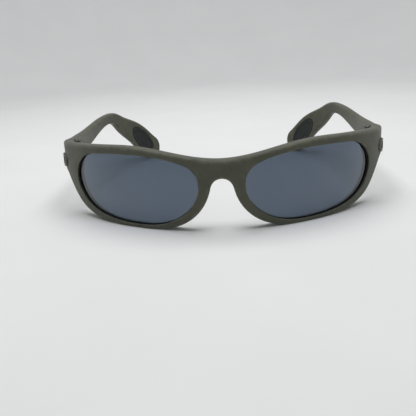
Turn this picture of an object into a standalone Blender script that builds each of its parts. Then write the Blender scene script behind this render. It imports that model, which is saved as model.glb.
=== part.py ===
"""Wraparound sport sunglasses, open and standing on a table: a moulded front, two lenses held by black
seals, and two folding temples on riveted metal hinges.

Metres, +Z up. The wearer looks along -Y, so the wearer's left is +X. The origin is on the table, under
the middle of the open glasses. Left pieces are modelled first, and right pieces are their mirror images.
"""

import math

import bmesh
import bpy
import numpy as np
from mathutils import Matrix, Vector

MM = 0.001

# Wrap of the front, seen from above: one large radius across the eyes, then a tight corner at each end.
WRAP_RADIUS = 80.0 * MM
WRAP_REACH = 80.6 * MM  # arc length from the middle to where the corner starts
CORNER_RADIUS = 24.0 * MM
UPRIGHT_RADIUS = 120.0 * MM  # bulge of the front from top to bottom
FRONT_THICKNESS = 5.0 * MM
END_THICKNESS = 4.5 * MM  # wall where front and temple meet

# Lens openings, measured along the wrap.
NOSE_GAP = 9.0 * MM  # from the middle to the opening
LENS_WIDTH = 61.9 * MM
LENS_HEIGHT = 28.2 * MM
LENS_THICKNESS = 1.6 * MM

# Rim around the opening.
RIM_TOP = 2.7 * MM
RIM_BROW = 2.5 * MM  # over the inner end of the lens
RIM_TOP_OUTER = 3.0 * MM
RIM_NOSE_FOOT = 3.5 * MM
RIM_BOTTOM_INNER = 2.35 * MM
RIM_BOTTOM = 1.7 * MM
RIM_BOTTOM_OUTER = 2.85 * MM
RIM_SIDE = 5.9 * MM
RIM_ROUND = 1.5 * MM
BRIDGE_HEIGHT = 7.4 * MM
BRIDGE_TOP = 28.0 * MM
ARCH_HALF_WIDTH = 5.1 * MM  # of the nose arch, half way down the nose
NOSE_REST = 2.5 * MM  # how far the moulded nose rests stand back from the rim

# Groove, seal and lens: depths behind the front surface, and reaches into the rim.
LIP = 0.4 * MM  # of rim in front of the groove
GROOVE_DEPTH = 1.0 * MM
SEAL_DEPTH = 0.4 * MM
SEAL_REACH = 0.8 * MM
SEAL_EDGE = 0.05 * MM  # from the opening's edge to the seal's inner edge
LENS_REACH = 0.7 * MM
BACK_BEVEL = 2.4 * MM  # cut off the rim behind the lens, on the temple side
FIT_GAP = 0.1 * MM  # between seal, lens and groove

# End pieces and the split to the temples.
END_HEIGHT = 10.2 * MM
END_TOP = 29.3 * MM
SPLIT_GAP = 0.4 * MM
END_ROUND = 0.5 * MM
REST_FLAT = 0.15 * MM  # taken off the undersides that the glasses stand on, to give them a flat

# Temples. Distances along a temple start at the split.
TEMPLE_REACH = 85.0 * MM  # straight back from the split to the tip
TEMPLE_INSET = 23.2 * MM  # how far the tip curls in
TEMPLE_THICKNESS = 4.2 * MM
NECK_AT = 58.5 * MM
NECK_HEIGHT = 5.2 * MM
NECK_RISE = 4.6 * MM  # of the neck's middle over the hinge's
PADDLE_HEIGHT = 13.6 * MM
TEMPLE_LENGTH = 99.0 * MM
TIP_THICKNESS = 3.6 * MM

# Pad in each temple tip.
PAD_LENGTH = 20.0 * MM
PAD_WIDTH = 9.2 * MM
PAD_BACK = 14.0 * MM  # from the tip to the middle of the pad
PAD_POCKET = 1.2 * MM
PAD_PROUD = 0.5 * MM
PAD_CROWN = 0.8 * MM  # width of the pad's rounded edge
PAD_GAP = 0.15 * MM
PEG_RADIUS = 1.2 * MM
PEG_LENGTH = 1.0 * MM

# Badge on each end piece.
BADGE_LENGTH = 8.4 * MM
BADGE_HEIGHT = 6.0 * MM
BADGE_CENTRE = 22.2 * MM  # above the table
BADGE_FROM_SPLIT = 9.0 * MM
BADGE_PROUD = 0.8 * MM
BADGE_POCKET = 0.5 * MM
BADGE_RING = 1.3 * MM
BADGE_SHOULDER = 0.4 * MM
INLAY_SUNK = 0.3 * MM

# Hinges.
PIN_INSET = 1.2 * MM  # from the wall's inner face to the pin's axis
BARREL_RADIUS = 1.5 * MM
BARREL_HEIGHT = 7.4 * MM
KNUCKLE_GAP = 0.2 * MM
LEAF_THICKNESS = 0.8 * MM
LEAF_LENGTH = 8.6 * MM
LEAF_HEIGHT = 6.2 * MM
SCREW_RADIUS = 0.65 * MM
SCREW_CLEARANCE = 0.1 * MM
SCREW_HEAD_RADIUS = 1.15 * MM
SCREW_HEAD_HEIGHT = 0.7 * MM
SCREW_SLOT = 0.35 * MM
RIVET_RADIUS = 0.5 * MM
RIVET_HEAD_RADIUS = 0.85 * MM
RIVET_HEAD_HEIGHT = 0.4 * MM
RIVET_BITE = 2.0 * MM  # depth in the plastic
RIVET_PITCH = 2.6 * MM
RIVET_FIRST = 4.0 * MM  # from the pin to the nearer rivet
SMALL_GAP = 0.15 * MM  # around rivets, badge and leaves
REST_GAP = 0.3 * MM  # between leaf and wall, and round the knuckles
PLATE_SET_BACK = 0.5 * MM  # from the barrel to the leaf's plate
OVERLAP = 0.2 * MM  # of pieces that are joined into one
INSIDE = 0.02 * MM  # keeps faces that are joined off each other's planes
PAST = 2.0 * MM  # how far cutters stand out of what they cut

# Mesh density.
FACE_STEPS = 3
RIM_STEPS = (26, 4, 20, 4)  # lower edge, end, upper edge, middle plane
ARCH_CROWDING = 1.3  # power that crowds the lower edge's steps towards the nose arch
LENS_RINGS = 5
TEMPLE_STEPS = 40
OVAL_STEPS = 24
ROUND_STEPS = 20

COLOURS = {
    "frame": ((0.088, 0.091, 0.063), 0.75, 0.0),
    "lens": ((0.07, 0.09, 0.12), 0.08, 0.0),
    "rubber": ((0.010, 0.012, 0.012), 0.6, 0.0),
    "badge": ((0.07, 0.072, 0.053), 0.45, 0.0),
    "inlay": ((0.01, 0.01, 0.01), 0.4, 0.0),
    "steel": ((0.35, 0.35, 0.36), 0.3, 1.0),
}

# Lens opening as shares of its half width and half height, from the temple side over the top.
OPENING_SHAPE = (
    (1.0, 0.185),
    (0.845, 0.72),
    (0.455, 0.95),
    (-0.14, 0.995),
    (-0.67, 0.85),
    (-0.965, 0.49),
    (-0.99, -0.01),
    (-0.805, -0.61),
    (-0.47, -0.945),
    (-0.125, -1.0),
    (0.40, -0.905),
    (0.885, -0.42),
)

LENS_MIDDLE = np.array([NOSE_GAP + LENS_WIDTH / 2, RIM_BOTTOM + LENS_HEIGHT / 2 - REST_FLAT])
CORNER_START = WRAP_REACH / WRAP_RADIUS
SPLIT_AT = WRAP_REACH + CORNER_RADIUS * (math.pi / 2 - CORNER_START)
HINGE_HEIGHT = END_TOP - END_HEIGHT / 2


# ---- Curves and surfaces -------------------------------------------------------------------------


def spline_slopes(knots, points, closed):
    """Slopes of the cubic spline through the points: round again if closed, relaxed at open ends."""
    count = len(points)
    h = np.diff(knots)
    d = np.diff(points, axis=0) / h[:, None]
    matrix = np.zeros((count, count))
    right = np.zeros_like(points)
    for i in range(1, count - 1):
        matrix[i, i - 1 : i + 2] = h[i], 2 * (h[i - 1] + h[i]), h[i - 1]
        right[i] = 3 * (h[i] * d[i - 1] + h[i - 1] * d[i])
    if closed:
        matrix[0, [-2, 0, 1]] = h[0], 2 * (h[-1] + h[0]), h[-1]
        right[0] = 3 * (h[0] * d[-1] + h[-1] * d[0])
        matrix[-1, [0, -1]] = 1, -1
    else:
        matrix[0, :2] = 2, 1
        right[0] = 3 * d[0]
        matrix[-1, -2:] = 1, 2
        right[-1] = 3 * d[-1]
    return np.linalg.solve(matrix, right)


def run_of(points):
    """Distance along a line of points to each of them, by their first two coordinates."""
    steps = np.linalg.norm(np.diff(points[:, :2], axis=0), axis=1)
    return np.concatenate([[0], np.cumsum(steps)])


def smooth_curve(points, count, closed=False):
    """count points, evenly spaced, on a smooth curve through the given points."""
    points = np.array(points, float)
    if closed:
        points = np.vstack([points, points[:1]])
    knots = run_of(points)
    slopes = spline_slopes(knots, points, closed)
    at = np.linspace(0, knots[-1], 40 * len(points))
    i = np.clip(np.searchsorted(knots, at, side="right") - 1, 0, len(knots) - 2)
    h = (knots[i + 1] - knots[i])[:, None]
    t = ((at - knots[i]) / h[:, 0])[:, None]
    fine = (
        (2 * t**3 - 3 * t**2 + 1) * points[i]
        + (t**3 - 2 * t**2 + t) * h * slopes[i]
        + (3 * t**2 - 2 * t**3) * points[i + 1]
        + (t**3 - t**2) * h * slopes[i + 1]
    )
    return evenly_spaced(fine, count, closed)


def evenly_spaced(fine, count, closed=False):
    """count points at equal distances along a fine polyline."""
    run = run_of(fine)
    wanted = np.linspace(0, run[-1], count + 1)[:-1] if closed else np.linspace(0, run[-1], count)
    return np.column_stack([np.interp(wanted, run, fine[:, k]) for k in range(fine.shape[1])])


def unit(vectors):
    return vectors / np.linalg.norm(vectors, axis=-1, keepdims=True)


def ease(low, high, value):
    """0 below low, 1 above high, and smooth between."""
    t = np.clip((value - low) / (high - low), 0, 1)
    return t * t * (3 - 2 * t)


def front_point(s, z, n):
    """The point s along the wrap, z above the table and n behind the front's outer surface."""
    angle = min(s, WRAP_REACH) / WRAP_RADIUS
    x = WRAP_RADIUS * math.sin(angle)
    y = WRAP_RADIUS * (1 - math.cos(angle))
    if s > WRAP_REACH:
        angle = CORNER_START + (s - WRAP_REACH) / CORNER_RADIUS
        x += CORNER_RADIUS * (math.sin(angle) - math.sin(CORNER_START))
        y += CORNER_RADIUS * (math.cos(CORNER_START) - math.cos(angle))
    bulge = (z - LENS_MIDDLE[1]) ** 2 / (2 * UPRIGHT_RADIUS)
    back = n + bulge * (1 - ease(WRAP_REACH - CORNER_RADIUS / 2, SPLIT_AT, s))
    return Vector((x - back * math.sin(angle), y + back * math.cos(angle), z))


SPLIT = front_point(SPLIT_AT, HINGE_HEIGHT, 0.0)
PIN = Vector((SPLIT.x - END_THICKNESS - PIN_INSET, SPLIT.y + SPLIT_GAP / 2, HINGE_HEIGHT))


def temple_plan():
    """The temple's outer surface seen from above, as points 1 mm or less apart."""
    start = np.array([SPLIT.x, SPLIT.y + SPLIT_GAP])
    handles = (
        start,
        start + [0.0, 0.30 * TEMPLE_REACH],
        start + [0.05 * TEMPLE_INSET, 0.76 * TEMPLE_REACH],
        start + [-TEMPLE_INSET, TEMPLE_REACH],
    )
    t = np.linspace(0, 1, 200)[:, None]
    shares = ((1 - t) ** 3, 3 * t * (1 - t) ** 2, 3 * t**2 * (1 - t), t**3)
    return sum(share * handle for share, handle in zip(shares, handles))


PLAN = temple_plan()
PLAN_RUN = run_of(PLAN)
PLAN_HEADING = unit(np.gradient(PLAN, axis=0))


def temple_point(t, z, n):
    """The point t along the temple, z above the table and n inside its outer surface."""
    here = min(t, PLAN_RUN[-1])
    x, y = (np.interp(here, PLAN_RUN, PLAN[:, k]) for k in (0, 1))
    along_x, along_y = (np.interp(here, PLAN_RUN, PLAN_HEADING[:, k]) for k in (0, 1))
    past = t - here
    return Vector((x + past * along_x - n * along_y, y + past * along_y + n * along_x, z))


# ---- Outlines, as (distance along the wrap or temple, height) ------------------------------------


def opening_knots():
    return LENS_MIDDLE + np.array(OPENING_SHAPE) * [LENS_WIDTH / 2, LENS_HEIGHT / 2]


def opening_at(numbers):
    """Points on the opening's edge and the outward normals there. Whole numbers are its knots."""
    knots = opening_knots()
    fine = smooth_curve(knots, 720, closed=True)
    around = np.vstack([fine, fine[:1]])
    along = np.gradient(np.vstack([fine[-1:], around, fine[1:2]]), axis=0)[1:-1]
    at_knot = [np.argmin(np.linalg.norm(fine - knot, axis=1)) for knot in knots] + [len(fine)]
    where = np.interp(np.mod(numbers, len(knots)), range(len(knots) + 1), at_knot)
    columns = np.column_stack([around, along[:, 1], -along[:, 0]])
    found = np.column_stack([np.interp(where, range(len(around)), v) for v in columns.T])
    return found[:, :2], unit(found[:, 2:])


def rim_point(knot, width):
    """The rim's outer edge beside one of the opening's knots, with the knot's number."""
    knots = opening_knots()
    along = knots[(knot + 1) % len(knots)] - knots[knot - 1]
    return (*(knots[knot] + width * unit(np.array([along[1], -along[0]]))), knot)


def lower_edge():
    """The front's lower edge from the nose arch to the split: (s, z, number of the opening's point)."""
    arch_top = BRIDGE_TOP - BRIDGE_HEIGHT
    half = [
        (0.68 * ARCH_HALF_WIDTH, arch_top - 0.3 * ARCH_HALF_WIDTH, 5.8),
        (ARCH_HALF_WIDTH, arch_top - 1.1 * ARCH_HALF_WIDTH, 6.15),
        rim_point(7, RIM_NOSE_FOOT),
        rim_point(8, RIM_BOTTOM_INNER),
        rim_point(9, RIM_BOTTOM),
        rim_point(10, RIM_BOTTOM_OUTER),
        rim_point(11, RIM_SIDE),
        (SPLIT_AT - 0.45 * CORNER_RADIUS, END_TOP - END_HEIGHT - 3.3 * MM, 11.65),
        (SPLIT_AT, END_TOP - END_HEIGHT, 12.1),
    ]
    return half_of((0.0, arch_top, 5.55), half, RIM_STEPS[0] + 1, ARCH_CROWDING)


def upper_edge():
    """The front's upper edge from the middle to the split, in the same way."""
    half = [
        rim_point(4, RIM_BROW),
        rim_point(3, RIM_TOP),
        rim_point(2, RIM_TOP_OUTER),
        (SPLIT_AT - 0.8 * CORNER_RADIUS, END_TOP + 1.3 * MM, 1.25),
        (SPLIT_AT, END_TOP, 0.75),
    ]
    return half_of((0.0, BRIDGE_TOP, 4.8), half, RIM_STEPS[2] + 1, 1.0)


def half_of(middle, half, count, crowding):
    """The +X half of a smooth edge that is the same on both sides of the middle plane."""
    mirrored = [(-s, z, 2 * middle[2] - number) for s, z, number in reversed(half)]
    fine = smooth_curve([*mirrored, middle, *half], 801)[400:]
    run = run_of(fine)
    wanted = run[-1] * np.linspace(0, 1, count) ** crowding
    kept = np.column_stack([np.interp(wanted, run, column) for column in fine.T])
    kept[0] = middle
    return kept


def inward_normals(points):
    """Unit normals on the left side of an outline."""
    along = unit(np.gradient(points, axis=0))
    return np.column_stack([-along[:, 1], along[:, 0]])


def front_outline():
    """Outer points of the half front, round the lens from the arch, with the way in and kind of each."""
    low, high = lower_edge(), upper_edge()[::-1]
    low_in, high_in = (inward_normals(edge[:, :2]) for edge in (low, high))
    low_in[0], high_in[-1] = (0, 1), (0, -1)
    low_in[-1], high_in[0] = unit(np.array([-1.0, 1.0])), unit(np.array([-1.0, -1.0]))
    end = np.linspace(low[-1] - (0, 0, len(OPENING_SHAPE)), high[0], RIM_STEPS[1] + 1)[1:-1]
    middle = np.linspace(high[-1], low[0], RIM_STEPS[3] + 1)[1:-1]
    points = np.vstack([low, end, high, middle])
    ways_in = np.vstack([low_in, np.tile([-1.0, 0.0], (len(end), 1)), high_in, middle[:, :2] * 0])
    kinds = ["edge"] * len(low) + ["end"] * len(end) + ["edge"] * len(high) + ["middle"] * len(middle)
    kinds[len(low) - 1] = kinds[len(low) + len(end)] = "end"
    return points, ways_in, kinds


OUTLINE, WAYS_IN, KINDS = front_outline()
EDGE, EDGE_OUT = opening_at(OUTLINE[:, 2])
OUTLINE = OUTLINE[:, :2]


def back_depth(s, z):
    """Depth of the front's back face: thinner at the ends, thicker at the moulded nose rests."""
    depth = FRONT_THICKNESS + (END_THICKNESS - FRONT_THICKNESS) * ease(WRAP_REACH, SPLIT_AT, s)
    foot = rim_point(7, RIM_NOSE_FOOT)
    across = (s - (ARCH_HALF_WIDTH + foot[0]) / 2) / NOSE_GAP
    up = (z - (foot[1] + BRIDGE_TOP - BRIDGE_HEIGHT) / 2) / BRIDGE_HEIGHT
    return depth + NOSE_REST * math.exp(-2.2 * across**2 - 0.9 * up**2)


# ---- Blender objects -----------------------------------------------------------------------------


def clear_scene():
    for obj in list(bpy.data.objects):
        bpy.data.objects.remove(obj)


def collection(name, hidden=False):
    made = bpy.data.collections.new(name)
    made.hide_render = hidden
    bpy.context.scene.collection.children.link(made)
    return made


def material(name):
    found = bpy.data.materials.get(name)
    if found:
        return found
    colour, roughness, metallic = COLOURS[name]
    made = bpy.data.materials.new(name)
    made.use_nodes = True
    shader = made.node_tree.nodes["Principled BSDF"]
    shader.inputs["Base Color"].default_value = (*colour, 1.0)
    shader.inputs["Roughness"].default_value = roughness
    shader.inputs["Metallic"].default_value = metallic
    return made


def finished(name, form, finish, side):
    """An object in the group from a bmesh. Side -1 makes it the mirror image, for the right."""
    if side < 0:
        bmesh.ops.transform(form, matrix=Matrix.Scale(-1, 4, (1, 0, 0)), verts=form.verts)
    bmesh.ops.recalc_face_normals(form, faces=form.faces)
    mesh = bpy.data.meshes.new(name)
    form.to_mesh(mesh)
    form.free()
    mesh.materials.append(material(finish))
    mesh.shade_smooth()
    mesh.set_sharp_from_angle(angle=math.radians(35))
    obj = bpy.data.objects.new(name, mesh)
    PARTS.objects.link(obj)
    return obj


def loft_object(name, points, faces, finish, side=1):
    """An object from a loft's points and faces, without the points that no face uses."""
    mesh = bpy.data.meshes.new(name)
    mesh.from_pydata([tuple(p) for p in points], [], faces)
    form = bmesh.new()
    form.from_mesh(mesh)
    bpy.data.meshes.remove(mesh)
    bmesh.ops.delete(form, geom=[v for v in form.verts if not v.link_faces], context="VERTS")
    return finished(name, form, finish, side)


def as_cutter(obj):
    """Moves an object to the cutters, which aren't part of the glasses."""
    PARTS.objects.unlink(obj)
    CUTTERS.objects.link(obj)
    obj.hide_render = True
    obj.display_type = "WIRE"
    return obj


def combine(obj, others, operation):
    """Cuts the others from obj, or joins them to it, and leaves the others as hidden helpers on it."""
    for other in others:
        as_cutter(other).parent = obj
        step = obj.modifiers.new(f"{operation.lower()} {other.name}", "BOOLEAN")
        step.operation = operation
        step.object = other
    return obj


def lofted(rows, ends="fans"):
    """Faces between closed rows of equally many points. The ends are closed by fans, or stay open."""
    count = len(rows[0])
    points = [p for row in rows for p in row]
    faces = []
    for k in range(len(rows) - 1):
        for j in range(count):
            a, b = k * count + j, k * count + (j + 1) % count
            faces.append((a, b, b + count, a + count))
    if ends == "fans":
        for first in (0, (len(rows) - 1) * count):
            ring = range(first, first + count)
            points.append(sum((points[i] for i in ring), Vector()) / count)
            faces += [(ring[j - 1], ring[j], len(points) - 1) for j in range(count)]
    return points, faces


def round_bar(name, radius, start, end, finish, side, steps=ROUND_STEPS):
    """A cylinder from one point to another."""
    start, end = Vector(start), Vector(end)
    form = bmesh.new()
    bmesh.ops.create_cone(
        form,
        cap_ends=True,
        segments=steps,
        radius1=radius,
        radius2=radius,
        depth=(end - start).length,
    )
    turn = (end - start).to_track_quat("Z", "Y").to_matrix().to_4x4()
    bmesh.ops.transform(form, matrix=Matrix.Translation((start + end) / 2) @ turn, verts=form.verts)
    return finished(name, form, finish, side)


def cylinder(name, radius, low, high, finish, side, steps=ROUND_STEPS):
    """A cylinder on the hinge's axis, between two heights."""
    return round_bar(name, radius, (PIN.x, PIN.y, low), (PIN.x, PIN.y, high), finish, side, steps)


def cross_pin(name, radius, start, end, y, finish, side, steps=14):
    """A cylinder along X at the hinge's height."""
    return round_bar(name, radius, (start, y, PIN.z), (end, y, PIN.z), finish, side, steps)


def box(name, low, high, finish, side):
    """A box between two corners."""
    form = bmesh.new()
    bmesh.ops.create_cube(form, size=1.0)
    size = Vector(high) - Vector(low)
    middle = (Vector(high) + Vector(low)) / 2
    bmesh.ops.transform(
        form, matrix=Matrix.Translation(middle) @ Matrix.Diagonal((*size, 1.0)), verts=form.verts
    )
    return finished(name, form, finish, side)


def oval_solid(name, place, rows, finish, side):
    """A solid of oval rows, each (length, height, depth), put on a surface by place(u, v, depth)."""
    turns = [2 * math.pi * j / OVAL_STEPS for j in range(OVAL_STEPS)]
    rings = [
        [place(length / 2 * math.cos(a), height / 2 * math.sin(a), depth) for a in turns]
        for length, height, depth in rows
    ]
    return loft_object(name, *lofted(rings), finish, side)


# ---- Front ---------------------------------------------------------------------------------------


def edge_place(k, reach, depth):
    """The point beside the opening at outline step k, reach into the rim and depth behind the front."""
    s, z = EDGE[k] + reach * EDGE_OUT[k]
    return front_point(s, z, depth)


def front_row(k):
    """One section of the half front: front face outwards, outer wall, back face inwards, groove."""
    outer, way_in = OUTLINE[k], WAYS_IN[k]
    radius = {"edge": RIM_ROUND, "end": END_ROUND, "middle": 0.0}[KINDS[k]]
    radius += (END_ROUND - radius) * ease(SPLIT_AT - 3 * RIM_ROUND, SPLIT_AT, outer[0]) * (radius > 0)
    width = np.linalg.norm(outer - EDGE[k])
    if KINDS[k] != "middle":
        along = (EDGE[k] - outer) / width
        beside = np.array([-way_in[1], way_in[0]])
        slide = (along @ beside) / max(along @ way_in, 0.2)
        way_in = way_in + slide * ease(0, 0.5 * ARCH_HALF_WIDTH, outer[0]) * beside
    radius = min(radius, 0.42 * width / np.linalg.norm(way_in)) if radius else 0.0
    ease_in = 0.3 * radius
    front_start = EDGE[k] + 0.35 * LIP * EDGE_OUT[k]
    front_end = outer + radius * way_in
    back_start = EDGE[k] + (LIP + BACK_BEVEL * max(EDGE_OUT[k][0], 0)) * EDGE_OUT[k]
    shares = np.linspace(0, 1, FACE_STEPS + 1)
    front = [(*(front_start + t * (front_end - front_start)), 0.0) for t in shares]
    depth = back_depth(*outer)
    wall = [
        (*(outer + ease_in * way_in), ease_in),
        (*outer, radius),
        (*outer, depth - radius),
        (*(outer + ease_in * way_in), depth - ease_in),
    ]
    back = [back_start + t * (front_end - back_start) for t in shares[::-1]]
    back = [(*p, back_depth(*p)) for p in back]
    row = [front_point(*p) for p in front + wall + back]
    groove_end = LIP + 3 * FIT_GAP + SEAL_DEPTH + LENS_THICKNESS
    row += [
        edge_place(k, 0.35 * LIP, groove_end + 0.5 * LIP),
        edge_place(k, 0.35 * LIP, groove_end),
        edge_place(k, GROOVE_DEPTH, groove_end),
        edge_place(k, GROOVE_DEPTH, LIP),
        edge_place(k, 0.0, LIP),
        edge_place(k, 0.0, 0.35 * LIP),
    ]
    for point in row:
        point.z = max(point.z, 0.0)
    return row


def build_front():
    """The moulded front: half of it as a loft round the lens, mirrored, then cut for what it holds."""
    rows = [front_row(k) for k in range(len(OUTLINE))]
    points, faces = lofted(rows + rows[:1], "open")
    count = len(rows[0])
    used = len(rows) * count
    wall = range(FACE_STEPS, FACE_STEPS + 5)
    on_middle = {k for k in range(len(rows)) if KINDS[k] == "middle"}
    kept = []
    for index, face in enumerate(faces):
        k, j = divmod(index, count)
        if j in wall and (k in on_middle or (k + 1) % len(rows) in on_middle):
            continue
        kept.append(tuple(i % used for i in face))
    front = loft_object("front_frame", points[:used], kept, "frame")
    mirror = front.modifiers.new("mirror", "MIRROR")
    mirror.use_axis = (True, False, False)
    mirror.merge_threshold = 0.02 * MM
    return front


def build_seal(side):
    """The black ring between the front lip and the lens."""
    low = LIP + FIT_GAP
    high = low + SEAL_DEPTH
    corners = ((SEAL_EDGE, low), (SEAL_REACH, low), (SEAL_REACH, high), (SEAL_EDGE, high))
    rows = [[edge_place(k, *corner) for corner in corners] for k in range(len(EDGE))]
    points, faces = lofted(rows + rows[:1], "open")
    used = len(rows) * len(corners)
    faces = [tuple(i % used for i in face) for face in faces]
    return loft_object(f"lens_seal_{name_of(side)}", points[:used], faces, "rubber", side)


def build_lens(side):
    """The lens: two curved faces a lens thickness apart, reaching into the groove."""
    rim = EDGE + LENS_REACH * EDGE_OUT
    front_depth = LIP + SEAL_DEPTH + 2 * FIT_GAP
    shares = np.linspace(0, 1, LENS_RINGS + 1)[1:]
    rows = []
    for depth, order in ((front_depth, shares), (front_depth + LENS_THICKNESS, shares[::-1])):
        for share in order:
            ring = LENS_MIDDLE + share * (rim - LENS_MIDDLE)
            rows.append([front_point(s, z, depth) for s, z in ring])
    points, faces = lofted(rows)
    points[-2] = front_point(*LENS_MIDDLE, front_depth)
    points[-1] = front_point(*LENS_MIDDLE, front_depth + LENS_THICKNESS)
    return loft_object(f"lens_{name_of(side)}", points, faces, "lens", side)


def badge_place(u, v, depth):
    return front_point(SPLIT_AT - BADGE_FROM_SPLIT + u, BADGE_CENTRE + v, depth)


def oval_plug(name, place, size, low, high, finish, side):
    """A straight-sided oval between two depths."""
    return oval_solid(name, place, ((*size, low), (*size, high)), finish, side)


def build_badge(side):
    """A plain oval ring and the dark inlay in it. Returns them and the pocket that the front needs."""
    name = name_of(side)
    back = BADGE_POCKET - SMALL_GAP
    outside = (BADGE_LENGTH, BADGE_HEIGHT)
    face = (BADGE_LENGTH - 2 * BADGE_SHOULDER, BADGE_HEIGHT - 2 * BADGE_SHOULDER)
    inside = (BADGE_LENGTH - 2 * BADGE_RING, BADGE_HEIGHT - 2 * BADGE_RING)
    rows = ((*face, -BADGE_PROUD), (*outside, BADGE_SHOULDER - BADGE_PROUD), (*outside, back))
    badge = oval_solid(f"badge_{name}", badge_place, rows, "badge", side)
    hollow = oval_plug(f"badge_{name}_hollow", badge_place, inside, -PAST, PAST, "badge", side)
    combine(badge, [hollow], "DIFFERENCE")
    small = (inside[0] - 2 * SMALL_GAP, inside[1] - 2 * SMALL_GAP)
    inlay = oval_plug(f"badge_inlay_{name}", badge_place, small, -INLAY_SUNK, back, "inlay", side)
    wide = (BADGE_LENGTH + 2 * SMALL_GAP, BADGE_HEIGHT + 2 * SMALL_GAP)
    pocket = oval_plug(f"badge_{name}_pocket", badge_place, wide, -PAST, BADGE_POCKET, "badge", side)
    return [badge, inlay], pocket


# ---- Hinges --------------------------------------------------------------------------------------


def knuckle_spans():
    """Lower and upper heights of the three knuckles of a hinge, from the lowest up."""
    each = (BARREL_HEIGHT - 2 * KNUCKLE_GAP) / 3
    bottom = PIN.z - BARREL_HEIGHT / 2
    return [(bottom + k * (each + KNUCKLE_GAP), bottom + k * (each + KNUCKLE_GAP) + each) for k in range(3)]


def leaf_inner_face():
    return SPLIT.x - END_THICKNESS - REST_GAP - LEAF_THICKNESS


def rivet_positions(way):
    """Distances along Y of a leaf's rivets: way -1 for the front's leaf, 1 for the temple's."""
    return [PIN.y + way * (RIVET_FIRST + k * RIVET_PITCH) for k in range(2)]


def build_leaf(owner, way, knuckles, side):
    """A hinge leaf: a plate with its knuckles, bored for the screw and for its rivets."""
    name = f"hinge_leaf_{owner}_{name_of(side)}"
    inner = leaf_inner_face()
    start = PIN.y + way * (BARREL_RADIUS + PLATE_SET_BACK)
    end = PIN.y + way * LEAF_LENGTH
    root = start + way * OVERLAP
    half = LEAF_HEIGHT / 2
    low = (inner, min(start, end), PIN.z - half)
    high = (inner + LEAF_THICKNESS, max(start, end), PIN.z + half)
    leaf = box(name, low, high, "steel", side)
    joined = []
    for number, (bottom, top) in enumerate(knuckle_spans()[k] for k in knuckles):
        joined.append(cylinder(f"{name}_knuckle_{number}", BARREL_RADIUS, bottom, top, "steel", side))
        neck_bottom = max(bottom, PIN.z - half) + INSIDE
        neck_top = min(top, PIN.z + half) - INSIDE
        neck_low = (inner + INSIDE, min(PIN.y, root), neck_bottom)
        neck_high = (inner + LEAF_THICKNESS - INSIDE, max(PIN.y, root), neck_top)
        joined.append(box(f"{name}_neck_{number}", neck_low, neck_high, "steel", side))
    combine(leaf, joined, "UNION")
    bore = SCREW_RADIUS + SCREW_CLEARANCE
    hole = RIVET_RADIUS + SMALL_GAP
    far = inner + LEAF_THICKNESS + PAST
    holes = [cylinder(f"{name}_bore", bore, PIN.z - BARREL_HEIGHT, PIN.z + BARREL_HEIGHT, "steel", side)]
    for number, y in enumerate(rivet_positions(way), 1):
        holes.append(cross_pin(f"{name}_hole_{number}", hole, inner - PAST, far, y, "steel", side))
    return combine(leaf, holes, "DIFFERENCE")


def build_screw(side):
    """The hinge screw, dropped in from above, with a slotted head."""
    name = f"hinge_screw_{name_of(side)}"
    bottom, top = PIN.z - BARREL_HEIGHT / 2, PIN.z + BARREL_HEIGHT / 2
    seat = top + SMALL_GAP
    screw = cylinder(name, SCREW_HEAD_RADIUS, seat, seat + SCREW_HEAD_HEIGHT, "steel", side)
    shaft = cylinder(f"{name}_shaft", SCREW_RADIUS, bottom, seat + OVERLAP, "steel", side, steps=16)
    combine(screw, [shaft], "UNION")
    head_top = seat + SCREW_HEAD_HEIGHT
    slot = box(
        f"{name}_slot",
        (PIN.x - SCREW_HEAD_RADIUS - PAST, PIN.y - SCREW_SLOT / 2, head_top - SCREW_SLOT),
        (PIN.x + SCREW_HEAD_RADIUS + PAST, PIN.y + SCREW_SLOT / 2, head_top + PAST),
        "steel",
        side,
    )
    return combine(screw, [slot], "DIFFERENCE")


def build_rivets(owner, way, side):
    """Two rivets through a leaf, with heads on its inner face. Returns them and the holes they need."""
    inner = leaf_inner_face()
    head = inner - SMALL_GAP
    end = inner + LEAF_THICKNESS + REST_GAP + RIVET_BITE
    hole = RIVET_RADIUS + SMALL_GAP
    rivets, holes = [], []
    for number, y in enumerate(rivet_positions(way), 1):
        name = f"rivet_{owner}_{name_of(side)}_{number}"
        rivet = cross_pin(name, RIVET_HEAD_RADIUS, head - RIVET_HEAD_HEIGHT, head, y, "steel", side)
        shank = cross_pin(f"{name}_shank", RIVET_RADIUS, head - OVERLAP, end, y, "steel", side)
        rivets.append(combine(rivet, [shank], "UNION"))
        holes.append(cross_pin(f"{name}_hole", hole, inner - PAST, end + SMALL_GAP, y, "steel", side))
    return rivets, holes


def barrel_relief(owner, side):
    """The hollow that lets the knuckles turn beside the wall."""
    name = f"relief_{owner}_{name_of(side)}"
    low, high = PIN.z - END_HEIGHT, PIN.z + END_HEIGHT
    return cylinder(name, BARREL_RADIUS + REST_GAP, low, high, "steel", side)


def leaf_pocket(side):
    """The recess in the front's inner face that the front's leaf lies in."""
    half = LEAF_HEIGHT / 2 + SMALL_GAP
    low = (SPLIT.x - 4 * END_THICKNESS, PIN.y - LEAF_LENGTH - SMALL_GAP, PIN.z - half)
    high = (leaf_inner_face() + LEAF_THICKNESS + SMALL_GAP, PIN.y + SPLIT_GAP, PIN.z + half)
    return box(f"leaf_pocket_{name_of(side)}", low, high, "steel", side)


# ---- Temples -------------------------------------------------------------------------------------


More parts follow.
